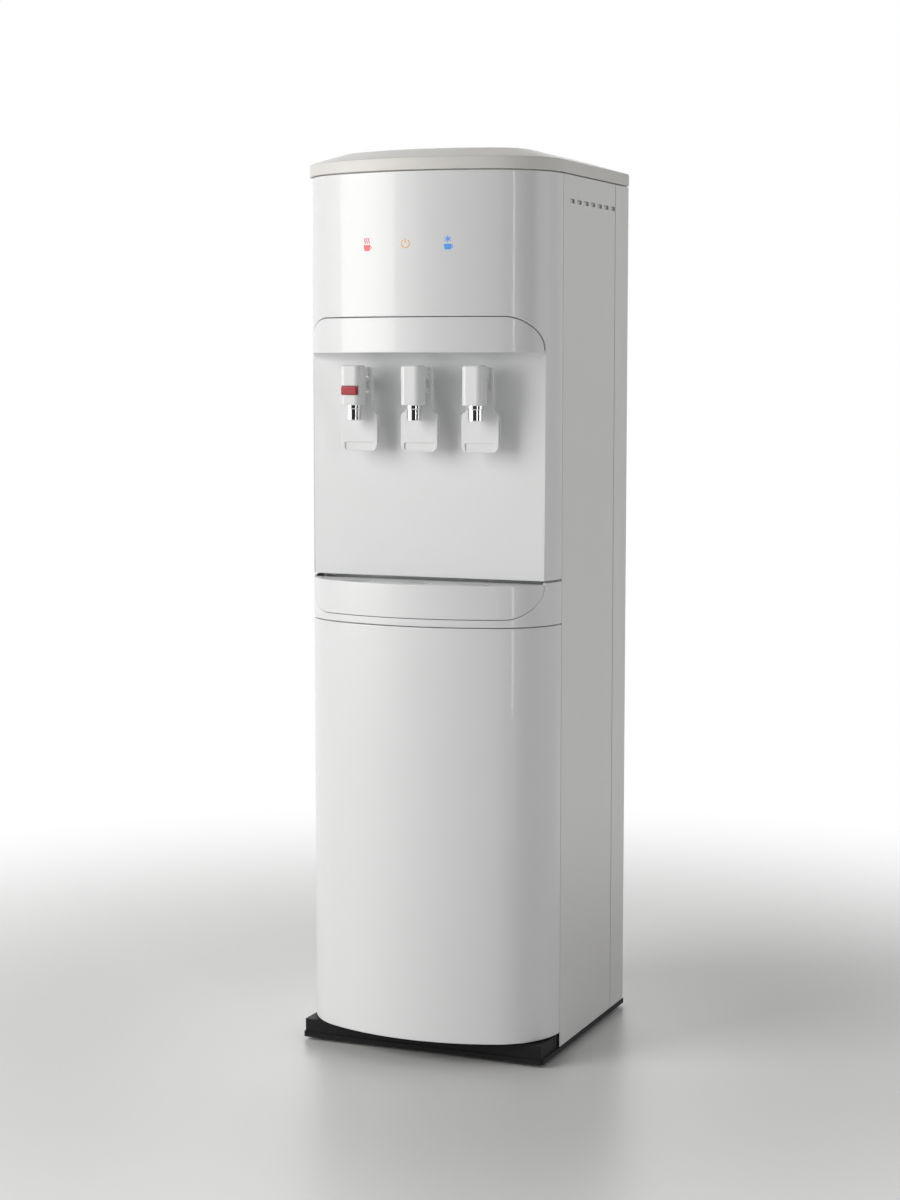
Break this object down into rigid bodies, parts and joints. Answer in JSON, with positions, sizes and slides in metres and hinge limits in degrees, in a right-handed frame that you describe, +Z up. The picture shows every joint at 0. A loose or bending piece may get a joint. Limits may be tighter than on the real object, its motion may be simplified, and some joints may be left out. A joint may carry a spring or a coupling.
{
  "type": "bottom load water cooler",
  "caption": "Tall white water cooler with hot, room and cold taps in an open bay over a drip tray, and a hinged door below that hides the bottle.",
  "frame": {"origin": "bottom centre of the bounding box, on the floor", "axes": "+X to the right seen from the front, +Y to the back, +Z up"},
  "size_m": [0.315, 0.36, 1.061],
  "materials": {
    "white_gloss": "smooth gloss",
    "white_panel": "fine satin powder coat",
    "lid_white": "satin, slightly warm",
    "black_plastic": "matte",
    "rubber": "matte",
    "zinc_steel": "galvanised sheet",
    "stainless": "drawn",
    "chrome": "polished",
    "black_enamel": "semi gloss",
    "copper": "drawn copper",
    "foam": "bead foam",
    "liner_grey": "satin",
    "silicone": "translucent silicone",
    "red": "gloss",
    "blue": "gloss",
    "red_light": "lit lens",
    "amber_light": "lit lens",
    "blue_light": "lit lens",
    "board_green": "solder mask",
    "spring_steel": "wire"
  },
  "bodies": {
    "cabinet": {"band_heater": "stainless", "base_plinth": "black_plastic", "coil_brackets": "zinc_steel", "cold_indicator": "blue_light", "cold_tank": "stainless", "cold_tank_jacket": "foam", "cold_tap_body": "white_gloss", "compressor": "black_enamel", "compressor_grommets": "rubber", "condenser_coil": "black_enamel", "control_board": "board_green", "dispensing_panel": "white_gloss", "door_hinge_pins": "stainless", "drain_pipe": "liner_grey", "evaporator_coil": "copper", "front_frame": "zinc_steel", "hose_gland": "liner_grey", "hot_indicator": "red_light", "hot_tank": "stainless", "hot_tap_body": "white_gloss", "inlet_gland": "black_plastic", "left_side_panel": "white_panel", "magnet_catch": "black_plastic", "mid_deck": "zinc_steel", "power_indicator": "amber_light", "probe_clip": "liner_grey", "rear_cover": "white_panel", "rear_screws": "stainless", "right_side_panel": "white_panel", "room_tap_body": "white_gloss", "rubber_feet": "rubber", "switch_frame": "black_plastic", "tank_shelf": "zinc_steel", "tap_nuts": "white_gloss", "tap_spouts": "chrome", "top_cover": "lid_white", "tray_surround": "white_gloss", "upper_front_housing": "white_gloss", "water_pump": "liner_grey", "water_tubes": "silicone"},
    "door": {"door_shell": "white_gloss", "door_liner": "liner_grey", "catch_plate": "stainless"},
    "tray": {"drip_tray": "white_gloss"},
    "grille": {"drip_grille": "white_gloss"},
    "hot_button": {"hot_safety_button": "red"},
    "heating_rocker": {"heating_switch": "red"},
    "cooling_rocker": {"cooling_switch": "blue"},
    "cap": {"drain_cap": "black_plastic"},
    "probe": {"bottle_probe": "liner_grey", "probe_hose": "silicone"},
    "hot_lever": {"hot_paddle": "white_gloss"},
    "hot_stem": {"hot_valve_stem": "liner_grey", "hot_valve_spring": "spring_steel"},
    "room_lever": {"room_paddle": "white_gloss"},
    "room_stem": {"room_valve_stem": "liner_grey", "room_valve_spring": "spring_steel"},
    "cold_lever": {"cold_paddle": "white_gloss"},
    "cold_stem": {"cold_valve_stem": "liner_grey", "cold_valve_spring": "spring_steel"}
  },
  "joints": [
    {"name": "door_hinge", "type": "hinge", "parent": "cabinet", "child": "door", "pos_m": [-0.148, -0.08751, 0.27], "axis": [0, 0, -1], "range_deg": [0, 92]},
    {"name": "tray_slide", "type": "slide", "parent": "cabinet", "child": "tray", "axis": [0, -1, 0], "range_m": [0, 0.08]},
    {"name": "grille_lift", "type": "slide", "parent": "tray", "child": "grille", "axis": [0, 0, 1], "range_m": [0, 0.04]},
    {"name": "hot_button_press", "type": "slide", "parent": "cabinet", "child": "hot_button", "axis": [0, 1, 0], "range_m": [0, 0.003], "stiffness_N_per_m": 400, "springref_m": -0.001},
    {"name": "heating_rocker_tip", "type": "hinge", "parent": "cabinet", "child": "heating_rocker", "pos_m": [0.088, 0.15349, 0.99], "axis": [-1, 0, 0], "range_deg": [0, 14]},
    {"name": "cooling_rocker_tip", "type": "hinge", "parent": "cabinet", "child": "cooling_rocker", "pos_m": [0.112, 0.15349, 0.99], "axis": [-1, 0, 0], "range_deg": [0, 14]},
    {"name": "cap_off", "type": "slide", "parent": "cabinet", "child": "cap", "axis": [0, 1, 0], "range_m": [0, 0.02]},
    {"name": "probe_lift", "type": "slide", "parent": "cabinet", "child": "probe", "axis": [0, 0, 1], "range_m": [0, 0.03], "deforming": ["probe_hose"]},
    {"name": "hot_paddle_push", "type": "hinge", "parent": "cabinet", "child": "hot_lever", "pos_m": [-0.076, -0.13751, 0.8065], "axis": [1, 0, 0], "range_deg": [0, 10], "stiffness_Nm_per_rad": 1.2, "springref_deg": -5.73},
    {"name": "hot_stem_drop", "type": "slide", "parent": "cabinet", "child": "hot_stem", "axis": [0, 0, -1], "range_m": [0, 0.0032], "deforming": ["hot_valve_spring"]},
    {"name": "room_paddle_push", "type": "hinge", "parent": "cabinet", "child": "room_lever", "pos_m": [0, -0.13751, 0.8065], "axis": [1, 0, 0], "range_deg": [0, 10], "stiffness_Nm_per_rad": 1.2, "springref_deg": -5.73},
    {"name": "room_stem_drop", "type": "slide", "parent": "cabinet", "child": "room_stem", "axis": [0, 0, -1], "range_m": [0, 0.0032], "deforming": ["room_valve_spring"]},
    {"name": "cold_paddle_push", "type": "hinge", "parent": "cabinet", "child": "cold_lever", "pos_m": [0.076, -0.13751, 0.8065], "axis": [1, 0, 0], "range_deg": [0, 10], "stiffness_Nm_per_rad": 1.2, "springref_deg": -5.73},
    {"name": "cold_stem_drop", "type": "slide", "parent": "cabinet", "child": "cold_stem", "axis": [0, 0, -1], "range_m": [0, 0.0032], "deforming": ["cold_valve_spring"]}
  ],
  "couplings": [
    {"joint": "hot_stem_drop", "follows": "hot_paddle_push", "m_per_rad": 0.018},
    {"joint": "room_stem_drop", "follows": "room_paddle_push", "m_per_rad": 0.018},
    {"joint": "cold_stem_drop", "follows": "cold_paddle_push", "m_per_rad": 0.018}
  ]
}
